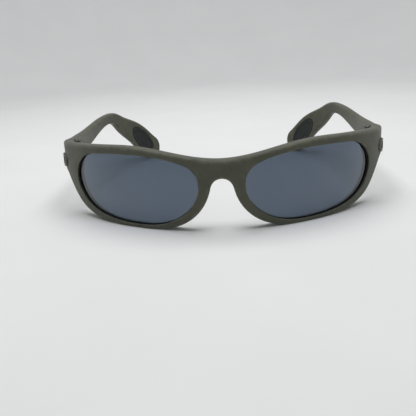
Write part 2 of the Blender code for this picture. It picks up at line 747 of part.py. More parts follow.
def temple_spine():
    """The temple's middle line and half height along it, as rows of (t, z, half height)."""
    neck = HINGE_HEIGHT + NECK_RISE
    paddle = PADDLE_HEIGHT / 2
    end_z = paddle + 0.2 * MM
    return (
        (0.0, HINGE_HEIGHT, END_HEIGHT / 2),
        (0.18 * NECK_AT, HINGE_HEIGHT + 0.1 * MM, 0.47 * END_HEIGHT),
        (0.45 * NECK_AT, HINGE_HEIGHT + 0.3 * MM, 0.42 * END_HEIGHT),
        (0.72 * NECK_AT, HINGE_HEIGHT + 0.5 * NECK_RISE, 0.65 * NECK_HEIGHT),
        (NECK_AT, neck, NECK_HEIGHT / 2),
        (1.12 * NECK_AT, neck - 0.17 * NECK_RISE, 0.63 * NECK_HEIGHT),
        (0.66 * NECK_AT + 0.34 * TEMPLE_LENGTH, 0.78 * neck + 0.22 * end_z, 0.335 * PADDLE_HEIGHT),
        (0.34 * NECK_AT + 0.66 * TEMPLE_LENGTH, 0.42 * neck + 0.58 * end_z, 0.475 * PADDLE_HEIGHT),
        (TEMPLE_LENGTH - paddle, end_z + 0.15 * PADDLE_HEIGHT, paddle),
        (TEMPLE_LENGTH, end_z - 0.28 * PADDLE_HEIGHT, paddle),
    )


def temple_sections(steps):
    """Middle points, unit directions across and half heights of the temple's sections, with a round tip."""
    spine = smooth_curve(temple_spine(), 400)
    line, half = spine[:, :2], spine[:, 2]
    across = inward_normals(line)
    run = run_of(line)
    tip = half[-1]
    body_steps = round(steps * 0.75)
    body = np.linspace(0, run[-1] - tip, body_steps)
    turn = np.linspace(0, math.pi / 2, steps - body_steps + 1)[1:]
    turn[-1] *= 0.985
    at = np.concatenate([body, run[-1] - tip + tip * np.sin(turn)])
    squeeze = np.concatenate([np.ones(body_steps), np.cos(turn)])
    pick = [np.interp(at, run, v) for v in (line[:, 0], line[:, 1], across[:, 0], across[:, 1], half)]
    middle, ways_across = np.column_stack(pick[:2]), unit(np.column_stack(pick[2:4]))
    halves = pick[4] * squeeze
    lowest = (middle[:, 1] - halves * np.abs(ways_across[:, 1])).min()
    middle[:, 1] -= (lowest + REST_FLAT) * ease(NECK_AT, TEMPLE_LENGTH - tip, middle[:, 0])
    return middle, ways_across, halves, at / run[-1]


def temple_row(middle, across, half, share):
    """One section: a rounded rectangle, as points on the temple's curved surface."""
    depth = END_THICKNESS + (TEMPLE_THICKNESS - END_THICKNESS) * ease(0.0, 0.25, share)
    depth += (TIP_THICKNESS - TEMPLE_THICKNESS) * ease(0.55, 0.95, share)
    round_off = END_ROUND if share == 0 else min(0.34 * depth, 0.45 * half)
    corner = 0.3 * round_off
    shape = []
    for sign in (1, -1):
        edge, shoulder = sign * half, sign * (half - round_off)
        rounded = ((shoulder, 0.0), (edge - sign * corner, corner), (edge, round_off))
        far = tuple((v, depth - down) for v, down in reversed(rounded))
        shape.append(rounded + far if sign > 0 else tuple(reversed(rounded + far)))
    row = []
    for v, n in (*shape[0], *shape[1]):
        t, z = middle + v * across
        row.append(temple_point(t, max(z, 0.0), n))
    return row


def build_temple(side):
    """A temple as a loft along its curve: tall at the hinge, thin at the neck, a paddle at the tip."""
    rows = [temple_row(*section) for section in zip(*temple_sections(TEMPLE_STEPS))]
    return loft_object(f"temple_{name_of(side)}", *lofted(rows[::-1]), "frame", side)


def pad_frame():
    """Middle and long direction of the pad, on the temple's surface."""
    middle, across, _, share = temple_sections(TEMPLE_STEPS)
    lengths = share * TEMPLE_LENGTH / share[-1]
    wanted = TEMPLE_LENGTH - PAD_BACK
    spot = np.array([np.interp(wanted, lengths, middle[:, k]) for k in (0, 1)])
    side_way = unit(np.array([np.interp(wanted, lengths, across[:, k]) for k in (0, 1)]))
    return spot, np.array([side_way[1], -side_way[0]]), side_way


PAD_SPOT, PAD_ALONG, PAD_ACROSS = pad_frame()


def pad_place(u, v, height):
    """The point u along the pad and v across it, height inwards from the temple's inner face."""
    t, z = PAD_SPOT + u * PAD_ALONG + v * PAD_ACROSS
    return temple_point(t, z, TIP_THICKNESS + height)


def build_pad(side):
    """The rubber pad with its peg, and the pocket and peg hole that the temple needs."""
    name = f"temple_pad_{name_of(side)}"
    floor = PAD_GAP - PAD_POCKET
    rows = [(PAD_LENGTH, PAD_WIDTH, floor), (PAD_LENGTH, PAD_WIDTH, 0.0)]
    for inset, share in ((0.3 * PAD_CROWN, 0.6), (PAD_CROWN, 1.0)):
        rows.append((PAD_LENGTH - 2 * inset, PAD_WIDTH - 2 * inset, share * PAD_PROUD))
    pad = oval_solid(name, pad_place, rows, "rubber", side)
    peg_size = (2 * PEG_RADIUS, 2 * PEG_RADIUS)
    peg = oval_plug(f"{name}_peg", pad_place, peg_size, floor - PEG_LENGTH, floor / 2, "rubber", side)
    combine(pad, [peg], "UNION")
    pocket_size = (PAD_LENGTH + 2 * PAD_GAP, PAD_WIDTH + 2 * PAD_GAP)
    pocket = oval_plug(f"{name}_pocket", pad_place, pocket_size, -PAD_POCKET, PAST, "rubber", side)
    hole = (2 * (PEG_RADIUS + PAD_GAP), 2 * (PEG_RADIUS + PAD_GAP))
    bottom = floor - PEG_LENGTH - PAD_GAP
    peg_hole = oval_plug(f"{name}_peg_hole", pad_place, hole, bottom, PAD_PROUD, "rubber", side)
    return pad, [pocket, peg_hole]


# ---- Assembly ------------------------------------------------------------------------------------


def name_of(side):
    return "left" if side > 0 else "right"


def empty(name, place, parent=None):
    made = bpy.data.objects.new(name, None)
    PARTS.objects.link(made)
    made.location = place
    made.parent = parent
    return made


def hold(parent, pieces):
    """Parents pieces that are modelled in place."""
    bpy.context.view_layer.update()
    for piece in pieces:
        piece.parent = parent
        piece.matrix_parent_inverse = parent.matrix_world.inverted()


def build_side(side, front, root):
    """Everything on one side: lens, seal, badge, hinge and temple, and the cuts they need in the front."""
    front_rivets, front_holes = build_rivets("front", -1, side)
    temple_rivets, temple_holes = build_rivets("temple", 1, side)
    badge_pieces, badge_pocket = build_badge(side)
    cuts = [badge_pocket, leaf_pocket(side), barrel_relief("front", side), *front_holes]
    combine(front, cuts, "DIFFERENCE")
    temple = build_temple(side)
    pad, pad_cuts = build_pad(side)
    combine(temple, [barrel_relief("temple", side), *temple_holes, *pad_cuts], "DIFFERENCE")
    fixed = [build_seal(side), build_lens(side), *badge_pieces]
    fixed += [build_leaf("front", -1, (0, 2), side), build_screw(side), *front_rivets]
    moving = [temple, pad, build_leaf("temple", 1, (1,), side), *temple_rivets]
    pin = empty(f"temple_{name_of(side)}_axis", (side * PIN.x, PIN.y, PIN.z), root)
    hold(pin, moving)
    hold(root, fixed)


def depth_of_glasses():
    """The lowest and highest Y of the solids."""
    graph = bpy.context.evaluated_depsgraph_get()
    ys = []
    for obj in PARTS.objects:
        if obj.type == "MESH":
            ys += [(obj.matrix_world @ Vector(c)).y for c in obj.evaluated_get(graph).bound_box]
    return min(ys), max(ys)


def main():
    root = empty("sunglasses", (0, 0, 0))
    front = build_front()
    for side in (1, -1):
        build_side(side, front, root)
    hold(root, [front])
    bpy.context.view_layer.update()
    near, far = depth_of_glasses()
    root.location.y = -(near + far) / 2


clear_scene()
PARTS = collection("wraparound_sunglasses")
CUTTERS = collection("cutters", hidden=True)
main()
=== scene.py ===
"""Looks of the wraparound sport sunglasses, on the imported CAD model.

The plastic and rubber pieces are built again on the CAD's own surfaces, with rounded edges and finer
steps. The metal hinge pieces stay the CAD's, with bevels. Lengths are in metres, +Z up. The wearer looks
along -Y and the wearer's left is +X. Left pieces are modelled, and right pieces are their mirror images.
"""

import math

import bmesh
import bpy
import numpy as np
from mathutils import Matrix, Vector


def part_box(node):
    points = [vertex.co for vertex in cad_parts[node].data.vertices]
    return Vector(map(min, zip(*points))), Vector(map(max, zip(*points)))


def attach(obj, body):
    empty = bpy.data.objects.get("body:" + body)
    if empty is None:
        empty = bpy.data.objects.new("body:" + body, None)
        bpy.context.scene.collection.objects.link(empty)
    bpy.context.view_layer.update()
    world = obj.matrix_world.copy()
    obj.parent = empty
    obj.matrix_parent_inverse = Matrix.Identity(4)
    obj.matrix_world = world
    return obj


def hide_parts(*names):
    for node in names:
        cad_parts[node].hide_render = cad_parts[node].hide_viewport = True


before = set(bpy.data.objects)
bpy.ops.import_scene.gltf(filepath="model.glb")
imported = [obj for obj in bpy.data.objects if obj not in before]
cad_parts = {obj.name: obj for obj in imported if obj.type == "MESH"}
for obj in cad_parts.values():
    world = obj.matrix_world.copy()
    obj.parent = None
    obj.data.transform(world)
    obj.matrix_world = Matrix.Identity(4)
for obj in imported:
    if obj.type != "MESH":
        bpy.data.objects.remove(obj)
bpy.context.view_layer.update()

MM = 0.001

# ---- Sizes, the CAD's own ------------------------------------------------------------------------

WRAP_RADIUS = 80.0 * MM
WRAP_REACH = 80.6 * MM
CORNER_RADIUS = 24.0 * MM
UPRIGHT_RADIUS = 120.0 * MM
FRONT_THICKNESS = 5.0 * MM
END_THICKNESS = 4.5 * MM

NOSE_GAP = 9.0 * MM
LENS_WIDTH = 61.9 * MM
LENS_HEIGHT = 28.2 * MM
LENS_THICKNESS = 1.6 * MM

RIM_TOP = 2.7 * MM
RIM_BROW = 2.5 * MM
RIM_TOP_OUTER = 3.0 * MM
RIM_NOSE_FOOT = 3.5 * MM
RIM_BOTTOM_INNER = 2.35 * MM
RIM_BOTTOM = 1.7 * MM
RIM_BOTTOM_OUTER = 2.85 * MM
RIM_SIDE = 5.9 * MM
BRIDGE_HEIGHT = 7.4 * MM
BRIDGE_TOP = 28.0 * MM
ARCH_HALF_WIDTH = 5.1 * MM
NOSE_REST = 2.5 * MM

LIP = 0.4 * MM
GROOVE_DEPTH = 1.0 * MM
SEAL_DEPTH = 0.4 * MM
SEAL_REACH = 0.8 * MM
BACK_BEVEL = 2.4 * MM
LENS_REACH = 0.7 * MM
FIT_GAP = 0.1 * MM

END_HEIGHT = 10.2 * MM
END_TOP = 29.3 * MM
SPLIT_GAP = 0.4 * MM
END_ROUND = 0.5 * MM
REST_FLAT = 0.15 * MM

TEMPLE_REACH = 85.0 * MM
TEMPLE_INSET = 23.2 * MM
TEMPLE_THICKNESS = 4.2 * MM
NECK_AT = 58.5 * MM
NECK_HEIGHT = 5.2 * MM
NECK_RISE = 4.6 * MM
PADDLE_HEIGHT = 13.6 * MM
TEMPLE_LENGTH = 99.0 * MM
TIP_THICKNESS = 3.6 * MM

PAD_LENGTH = 20.0 * MM
PAD_WIDTH = 9.2 * MM
PAD_BACK = 14.0 * MM
PAD_POCKET = 1.2 * MM
PAD_PROUD = 0.5 * MM
PAD_GAP = 0.15 * MM

BADGE_LENGTH = 8.4 * MM
BADGE_HEIGHT = 6.0 * MM
BADGE_CENTRE = 22.2 * MM
BADGE_FROM_SPLIT = 9.0 * MM
BADGE_PROUD = 0.8 * MM
BADGE_POCKET = 0.5 * MM
BADGE_RING = 1.3 * MM
INLAY_SUNK = 0.3 * MM

PIN_INSET = 1.2 * MM
BARREL_RADIUS = 1.5 * MM
LEAF_THICKNESS = 0.8 * MM
LEAF_LENGTH = 8.6 * MM
LEAF_HEIGHT = 6.2 * MM
RIVET_RADIUS = 0.5 * MM
RIVET_BITE = 2.0 * MM
RIVET_PITCH = 2.6 * MM
RIVET_FIRST = 4.0 * MM
SMALL_GAP = 0.15 * MM
REST_GAP = 0.3 * MM

OPENING_SHAPE = (
    (1.0, 0.185),
    (0.845, 0.72),
    (0.455, 0.95),
    (-0.14, 0.995),
    (-0.67, 0.85),
    (-0.965, 0.49),
    (-0.99, -0.01),
    (-0.805, -0.61),
    (-0.47, -0.945),
    (-0.125, -1.0),
    (0.40, -0.905),
    (0.885, -0.42),
)

# ---- Sizes of the rounded edges, and mesh density ------------------------------------------------

FRONT_ROUND = (1.8 * MM, 2.0 * MM)  # across the rim and into its depth
BACK_ROUND = (1.2 * MM, 1.2 * MM)
LIP_ROUND = 0.2 * MM
BLACK_EDGE = 0.05 * MM  # the lens is black from this far inside the opening's edge outwards
SEAL_INNER = 0.05 * MM
SEAL_CORNER = 0.08 * MM
LENS_CHAMFER = 0.2 * MM
BADGE_SHOULDER = 0.4 * MM
INLAY_EDGE = 0.1 * MM
PAD_ROUND = 0.7 * MM
PAD_GROOVE = (  # distances in from the pad's edge, and heights over the temple, in millimetres
    (1.1, 0.47),
    (1.35, 0.3),
    (1.6, 0.12),
    (1.85, 0.12),
    (2.1, 0.2),
    (2.6, 0.26),
)
PAD_CROWN = 0.3 * MM
METAL_BEVEL = 0.08 * MM

SPLINE_STEPS = 40  # between the given points of a curve, before it is spaced evenly
ROUND_STEPS = 6
FACE_STEPS = 6
RIM_STEPS = (110, 8, 80, 10)  # lower edge, end, upper edge, middle plane
ARCH_CROWDING = 1.3
LENS_RINGS = 14
TEMPLE_STEPS = 150
PAD_PLACE_STEPS = 34
OVAL_STEPS = 72
BAR_STEPS = 28
HOLE_STEPS = 20
RELIEF_STEPS = 40
STAGE_STEPS = 96

FLOOR_RADII = (0.1, 60, 120, 180, 240, 300, 360, 420, 480)  # in millimetres
FLOOR_TURN = 260 * MM  # radius of the bend from the floor into the wall

LENS_MIDDLE = np.array([NOSE_GAP + LENS_WIDTH / 2, RIM_BOTTOM + LENS_HEIGHT / 2 - REST_FLAT])
CORNER_START = WRAP_REACH / WRAP_RADIUS
SPLIT_AT = WRAP_REACH + CORNER_RADIUS * (math.pi / 2 - CORNER_START)
HINGE_HEIGHT = END_TOP - END_HEIGHT / 2


# ---- Curves and surfaces -------------------------------------------------------------------------


def spline_slopes(knots, points, closed):
    """Slopes of the cubic spline through the points: round again if closed, relaxed at open ends."""
    count = len(points)
    h = np.diff(knots)
    d = np.diff(points, axis=0) / h[:, None]
    matrix = np.zeros((count, count))
    right = np.zeros_like(points)
    for i in range(1, count - 1):
        matrix[i, i - 1 : i + 2] = h[i], 2 * (h[i - 1] + h[i]), h[i - 1]
        right[i] = 3 * (h[i] * d[i - 1] + h[i - 1] * d[i])
    if closed:
        matrix[0, [-2, 0, 1]] = h[0], 2 * (h[-1] + h[0]), h[-1]
        right[0] = 3 * (h[0] * d[-1] + h[-1] * d[0])
        matrix[-1, [0, -1]] = 1, -1
    else:
        matrix[0, :2] = 2, 1
        right[0] = 3 * d[0]
        matrix[-1, -2:] = 1, 2
        right[-1] = 3 * d[-1]
    return np.linalg.solve(matrix, right)


def run_of(points):
    """Distance along a line of points to each of them, by their first two coordinates."""
    steps = np.linalg.norm(np.diff(points[:, :2], axis=0), axis=1)
    return np.concatenate([[0], np.cumsum(steps)])


def smooth_curve(points, count, closed=False):
    """count points, evenly spaced, on a smooth curve through the given points."""
    points = np.array(points, float)
    if closed:
        points = np.vstack([points, points[:1]])
    knots = run_of(points)
    slopes = spline_slopes(knots, points, closed)
    at = np.linspace(0, knots[-1], SPLINE_STEPS * len(points))
    i = np.clip(np.searchsorted(knots, at, side="right") - 1, 0, len(knots) - 2)
    h = (knots[i + 1] - knots[i])[:, None]
    t = ((at - knots[i]) / h[:, 0])[:, None]
    fine = (
        (2 * t**3 - 3 * t**2 + 1) * points[i]
        + (t**3 - 2 * t**2 + t) * h * slopes[i]
        + (3 * t**2 - 2 * t**3) * points[i + 1]
        + (t**3 - t**2) * h * slopes[i + 1]
    )
    return evenly_spaced(fine, count, closed)


def evenly_spaced(fine, count, closed=False):
    """count points at equal distances along a fine polyline."""
    run = run_of(fine)
    wanted = np.linspace(0, run[-1], count + 1)[:-1] if closed else np.linspace(0, run[-1], count)
    return np.column_stack([np.interp(wanted, run, fine[:, k]) for k in range(fine.shape[1])])


def unit(vectors):
    return vectors / np.linalg.norm(vectors, axis=-1, keepdims=True)


def ease(low, high, value):
    """0 below low, 1 above high, and smooth between."""
    t = np.clip((value - low) / (high - low), 0, 1)
    return t * t * (3 - 2 * t)


def front_point(s, z, n):
    """The point s along the wrap, z above the table and n behind the front's outer surface."""
    angle = min(s, WRAP_REACH) / WRAP_RADIUS
    x = WRAP_RADIUS * math.sin(angle)
    y = WRAP_RADIUS * (1 - math.cos(angle))
    if s > WRAP_REACH:
        angle = CORNER_START + (s - WRAP_REACH) / CORNER_RADIUS
        x += CORNER_RADIUS * (math.sin(angle) - math.sin(CORNER_START))
        y += CORNER_RADIUS * (math.cos(CORNER_START) - math.cos(angle))
    bulge = (z - LENS_MIDDLE[1]) ** 2 / (2 * UPRIGHT_RADIUS)
    back = n + bulge * (1 - ease(WRAP_REACH - CORNER_RADIUS / 2, SPLIT_AT, s))
    return Vector((x - back * math.sin(angle), y + back * math.cos(angle), z))


SPLIT = front_point(SPLIT_AT, HINGE_HEIGHT, 0.0)
PIN = Vector((SPLIT.x - END_THICKNESS - PIN_INSET, SPLIT.y + SPLIT_GAP / 2, HINGE_HEIGHT))

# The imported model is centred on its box, so the hinge screw gives where the drawing's Y starts.
SCREW_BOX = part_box("hinge_screw_left")
SHIFT = Vector((0, (SCREW_BOX[0].y + SCREW_BOX[1].y) / 2 - PIN.y, 0))


def temple_plan():
    """The temple's outer surface seen from above, as points 1 mm or less apart."""
    start = np.array([SPLIT.x, SPLIT.y + SPLIT_GAP])
    handles = (
        start,
        start + [0.0, 0.30 * TEMPLE_REACH],
        start + [0.05 * TEMPLE_INSET, 0.76 * TEMPLE_REACH],
        start + [-TEMPLE_INSET, TEMPLE_REACH],
    )
    t = np.linspace(0, 1, 200)[:, None]
    shares = ((1 - t) ** 3, 3 * t * (1 - t) ** 2, 3 * t**2 * (1 - t), t**3)
    return sum(share * handle for share, handle in zip(shares, handles))


PLAN = temple_plan()
PLAN_RUN = run_of(PLAN)
PLAN_HEADING = unit(np.gradient(PLAN, axis=0))


def temple_point(t, z, n):
    """The point t along the temple, z above the table and n inside its outer surface."""
    here = min(t, PLAN_RUN[-1])
    x, y = (np.interp(here, PLAN_RUN, PLAN[:, k]) for k in (0, 1))
    along_x, along_y = (np.interp(here, PLAN_RUN, PLAN_HEADING[:, k]) for k in (0, 1))
    past = t - here
    return Vector((x + past * along_x - n * along_y, y + past * along_y + n * along_x, z))


# ---- Outlines, as (distance along the wrap or temple, height) ------------------------------------


def opening_knots():
    return LENS_MIDDLE + np.array(OPENING_SHAPE) * [LENS_WIDTH / 2, LENS_HEIGHT / 2]


def opening_at(numbers):
    """Points on the opening's edge and the outward normals there. Whole numbers are its knots."""
    knots = opening_knots()
    fine = smooth_curve(knots, 1440, closed=True)
    around = np.vstack([fine, fine[:1]])
    along = np.gradient(np.vstack([fine[-1:], around, fine[1:2]]), axis=0)[1:-1]
    at_knot = [np.argmin(np.linalg.norm(fine - knot, axis=1)) for knot in knots] + [len(fine)]
    where = np.interp(np.mod(numbers, len(knots)), range(len(knots) + 1), at_knot)
    columns = np.column_stack([around, along[:, 1], -along[:, 0]])
    found = np.column_stack([np.interp(where, range(len(around)), v) for v in columns.T])
    return found[:, :2], unit(found[:, 2:])


def rim_point(knot, width):
    """The rim's outer edge beside one of the opening's knots, with the knot's number."""
    knots = opening_knots()
    along = knots[(knot + 1) % len(knots)] - knots[knot - 1]
    return (*(knots[knot] + width * unit(np.array([along[1], -along[0]]))), knot)


def lower_edge():
    """The front's lower edge from the nose arch to the split: (s, z, number of the opening's point)."""
    arch_top = BRIDGE_TOP - BRIDGE_HEIGHT
    half = [
        (0.68 * ARCH_HALF_WIDTH, arch_top - 0.3 * ARCH_HALF_WIDTH, 5.8),
        (ARCH_HALF_WIDTH, arch_top - 1.1 * ARCH_HALF_WIDTH, 6.15),
        rim_point(7, RIM_NOSE_FOOT),
        rim_point(8, RIM_BOTTOM_INNER),
        rim_point(9, RIM_BOTTOM),
        rim_point(10, RIM_BOTTOM_OUTER),
        rim_point(11, RIM_SIDE),
        (SPLIT_AT - 0.45 * CORNER_RADIUS, END_TOP - END_HEIGHT - 3.3 * MM, 11.65),
        (SPLIT_AT, END_TOP - END_HEIGHT, 12.1),
    ]
    return half_of((0.0, arch_top, 5.55), half, RIM_STEPS[0] + 1, ARCH_CROWDING)


def upper_edge():
    """The front's upper edge from the middle to the split, in the same way."""
    half = [
        rim_point(4, RIM_BROW),
        rim_point(3, RIM_TOP),
        rim_point(2, RIM_TOP_OUTER),
        (SPLIT_AT - 0.8 * CORNER_RADIUS, END_TOP + 1.3 * MM, 1.25),
        (SPLIT_AT, END_TOP, 0.75),
    ]
    return half_of((0.0, BRIDGE_TOP, 4.8), half, RIM_STEPS[2] + 1, 1.0)


def half_of(middle, half, count, crowding):
    """The +X half of a smooth edge that is the same on both sides of the middle plane."""
    mirrored = [(-s, z, 2 * middle[2] - number) for s, z, number in reversed(half)]
    fine = smooth_curve([*mirrored, middle, *half], 1601)[800:]
    run = run_of(fine)
    wanted = run[-1] * np.linspace(0, 1, count) ** crowding
    kept = np.column_stack([np.interp(wanted, run, column) for column in fine.T])
    kept[0] = middle
    return kept


def inward_normals(points):
    """Unit normals on the left side of an outline."""
    along = unit(np.gradient(points, axis=0))
    return np.column_stack([-along[:, 1], along[:, 0]])


def front_outline():
    """Outer points of the half front, round the lens from the arch, with the way in at each and its kind."""
    low, high = lower_edge(), upper_edge()[::-1]
    low_in, high_in = (inward_normals(edge[:, :2]) for edge in (low, high))
    low_in[0], high_in[-1] = (0, 1), (0, -1)
    low_in[-1], high_in[0] = unit(np.array([-1.0, 1.0])), unit(np.array([-1.0, -1.0]))
    end = np.linspace(low[-1] - (0, 0, len(OPENING_SHAPE)), high[0], RIM_STEPS[1] + 1)[1:-1]
    margin = 1.2 * FRONT_ROUND[0] / BRIDGE_HEIGHT
    middle = high[-1] + np.linspace(margin, 1 - margin, RIM_STEPS[3])[:, None] * (low[0] - high[-1])
    points = np.vstack([low, end, high, middle])
    ways_in = np.vstack([low_in, np.tile([-1.0, 0.0], (len(end), 1)), high_in, middle[:, :2] * 0])
    kinds = ["edge"] * len(low) + ["end"] * len(end) + ["edge"] * len(high) + ["middle"] * len(middle)
    kinds[len(low) - 1] = kinds[len(low) + len(end)] = "end"
    return points, ways_in, kinds


OUTLINE, WAYS_IN, KINDS = front_outline()
EDGE, EDGE_OUT = opening_at(OUTLINE[:, 2])
OUTLINE = OUTLINE[:, :2]


def back_depth(s, z):
    """Depth of the front's back face: thinner at the ends, thicker at the moulded nose rests."""
    depth = FRONT_THICKNESS + (END_THICKNESS - FRONT_THICKNESS) * ease(WRAP_REACH, SPLIT_AT, s)
    foot = rim_point(7, RIM_NOSE_FOOT)
    across = (s - (ARCH_HALF_WIDTH + foot[0]) / 2) / NOSE_GAP
    up = (z - (foot[1] + BRIDGE_TOP - BRIDGE_HEIGHT) / 2) / BRIDGE_HEIGHT
    return depth + NOSE_REST * math.exp(-2.2 * across**2 - 0.9 * up**2)


# ---- Mesh helpers --------------------------------------------------------------------------------


def name_of(side):
    return "left" if side > 0 else "right"


def mesh_object(name, points, faces, side=1):
    """A smooth object from points in the drawing's place. Side -1 makes it the mirror image."""
    mesh = bpy.data.meshes.new(name)
    mesh.from_pydata([(side * p[0], p[1] + SHIFT.y, p[2]) for p in points], [], faces)
    form = bmesh.new()
    form.from_mesh(mesh)
    bmesh.ops.delete(form, geom=[v for v in form.verts if not v.link_faces], context="VERTS")
    bmesh.ops.recalc_face_normals(form, faces=form.faces)
    form.to_mesh(mesh)
    form.free()
    obj = bpy.data.objects.new(name, mesh)
    bpy.context.scene.collection.objects.link(obj)
    return obj


def lofted(rows, closed_ends=True):
    """Faces between closed rows of equally many points, with fans over the ends if they are closed."""
    count = len(rows[0])
    points = [p for row in rows for p in row]
    faces = []
    for k in range(len(rows) - 1):
        for j in range(count):
            a, b = k * count + j, k * count + (j + 1) % count
            faces.append((a, b, b + count, a + count))
    if closed_ends:
        for first in (0, (len(rows) - 1) * count):
            ring = range(first, first + count)
            points.append(sum((Vector(points[i]) for i in ring), Vector()) / count)
            faces += [(ring[j - 1], ring[j], len(points) - 1) for j in range(count)]
    return points, faces


def ring_loft(rows):
    """Points and faces of rows that run all the way round and meet."""
    points, faces = lofted([*rows, rows[0]], closed_ends=False)
    used = len(rows) * len(rows[0])
    return points[:used], [tuple(i % used for i in face) for face in faces]


def turns_of(steps):
    """Evenly spaced angles all the way round."""
    return [2 * math.pi * j / steps for j in range(steps)]


def oval_rings(place, rows):
    """Rings of points from oval rows, each (length, height, depth), put on a surface by place."""
    return [
        [place(length / 2 * math.cos(a), height / 2 * math.sin(a), depth) for a in turns_of(OVAL_STEPS)]
        for length, height, depth in rows
    ]


def oval_solid(name, place, rows, side):
    """A closed solid of such oval rows."""
    return mesh_object(name, *lofted(oval_rings(place, rows)), side)


def bar(name, radius, start, end, side, steps=BAR_STEPS):
    """A round bar between two points."""
    start, end = Vector(start), Vector(end)
    turn = (end - start).to_track_quat("Z", "Y").to_matrix()
    circle = [Vector((radius * math.cos(a), radius * math.sin(a), 0)) for a in turns_of(steps)]
    rows = [[at + turn @ point for point in circle] for at in (start, end)]
    return mesh_object(name, *lofted(rows), side)


def block(name, low, high, side):
    """A box between two corners."""
    rows = [
        [(low[0], low[1], z), (high[0], low[1], z), (high[0], high[1], z), (low[0], high[1], z)]
        for z in (low[2], high[2])
    ]
    return mesh_object(name, *lofted(rows), side)


def cut(obj, cutters):
    """obj with its modifiers applied and the cutters taken away. The cutters are removed."""
    for cutter in cutters:
        step = obj.modifiers.new(cutter.name, "BOOLEAN")
        step.operation = "DIFFERENCE"
        step.object = cutter
    apply_modifiers(obj)
    for cutter in cutters:
        bpy.data.objects.remove(cutter)
    return obj


def apply_modifiers(obj):
    graph = bpy.context.evaluated_depsgraph_get()
    mesh = bpy.data.meshes.new_from_object(obj.evaluated_get(graph))
    obj.modifiers.clear()
    obj.data = mesh


def soften(obj, angle=35):
    """Smooth shading, sharp where faces meet at more than the angle."""
    obj.data.shade_smooth()
    obj.data.set_sharp_from_angle(angle=math.radians(angle))
    return obj


def finish_piece(obj, body, node, slot, *materials):
    """Puts a piece on its body in place of its CAD node, with its materials."""
    which = [face.material_index for face in obj.data.polygons]
    obj.data.materials.clear()
    for each in materials:
        obj.data.materials.append(each)
    obj.data.polygons.foreach_set("material_index", [min(n, len(materials) - 1) for n in which])
    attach(obj, body)
    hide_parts(node)


def quarter(width, depth, steps=ROUND_STEPS):
    """A quarter round as (distance in from the wall, depth), from the face to the wall."""
    turns = [math.pi / 2 * j / steps for j in range(steps + 1)]
    return [(width * (1 - math.sin(a)), depth * (1 - math.cos(a))) for a in turns]


# ---- Front ---------------------------------------------------------------------------------------


def edge_place(k, reach, depth):
    """The point beside the opening at outline step k, reach into the rim and depth behind the front."""
    s, z = EDGE[k] + reach * EDGE_OUT[k]
    return front_point(s, z, depth)


def front_row(k):
    """One section of the half front: front face outwards, outer wall, back face inwards, groove."""
    outer, way_in = OUTLINE[k], WAYS_IN[k]
    to_end = ease(SPLIT_AT - 7 * MM, SPLIT_AT, outer[0])
    width = np.linalg.norm(outer - EDGE[k])
    if KINDS[k] != "middle":
        along = (EDGE[k] - outer) / width
        beside = np.array([-way_in[1], way_in[0]])
        slide = (along @ beside) / max(along @ way_in, 0.2)
        most = 1.5 + 3.5 * ease(3 * ARCH_HALF_WIDTH, 6 * ARCH_HALF_WIDTH, outer[0])
        way_in = way_in + np.clip(slide, -most, most) * ease(0, ARCH_HALF_WIDTH, outer[0]) * beside
    widest = 0.42 * width / max(np.linalg.norm(way_in), 0.01)
    rounds = []
    for full in (FRONT_ROUND, BACK_ROUND):
        if KINDS[k] == "middle":
            rounds.append((0.0, 0.0))
        else:
            end_share = 1.0 if KINDS[k] == "end" else to_end
            rounds.append(tuple(min(r + (END_ROUND - r) * end_share, widest) for r in full))
    front_start = EDGE[k] + LIP_ROUND * EDGE_OUT[k]
    front_end = outer + rounds[0][0] * way_in
    cut_back = LIP + BACK_BEVEL * max(EDGE_OUT[k][0], 0)
    back_start = EDGE[k] + cut_back * EDGE_OUT[k]
    back_end = outer + rounds[1][0] * way_in
    shares = np.linspace(0, 1, FACE_STEPS + 1)[:-1]
    row = [front_point(*(front_start + t * (front_end - front_start)), 0.0) for t in shares]
    row += [front_point(*(outer + d * way_in), n) for d, n in quarter(*rounds[0])]
    depth = back_depth(*outer)
    row += [front_point(*(outer + d * way_in), depth - n) for d, n in reversed(quarter(*rounds[1]))]
    for t in shares[::-1]:
        at = back_start + t * (back_end - back_start)
        row.append(front_point(*at, back_depth(*at)))
    groove_end = LIP + 3 * FIT_GAP + SEAL_DEPTH + LENS_THICKNESS
    behind = back_depth(*back_start)
    lip_reach, lip_back = 0.35 * LIP, groove_end + 0.5 * LIP
    for share in (0.33, 0.67, 1.0):
        reach = cut_back + share * (lip_reach - cut_back)
        row.append(edge_place(k, reach, behind + share * (lip_back - behind)))
    row += [
        edge_place(k, lip_reach, groove_end),
        edge_place(k, GROOVE_DEPTH, groove_end),
        edge_place(k, GROOVE_DEPTH, LIP),
        edge_place(k, 0.0, LIP),
    ]
    for turn in (0.0, 0.33, 0.66):
        a = math.pi / 2 * turn
        row.append(edge_place(k, LIP_ROUND * (1 - math.cos(a)), LIP_ROUND * (1 - math.sin(a))))
    for point in row:
        point.z = max(point.z, 0.0)
    return row


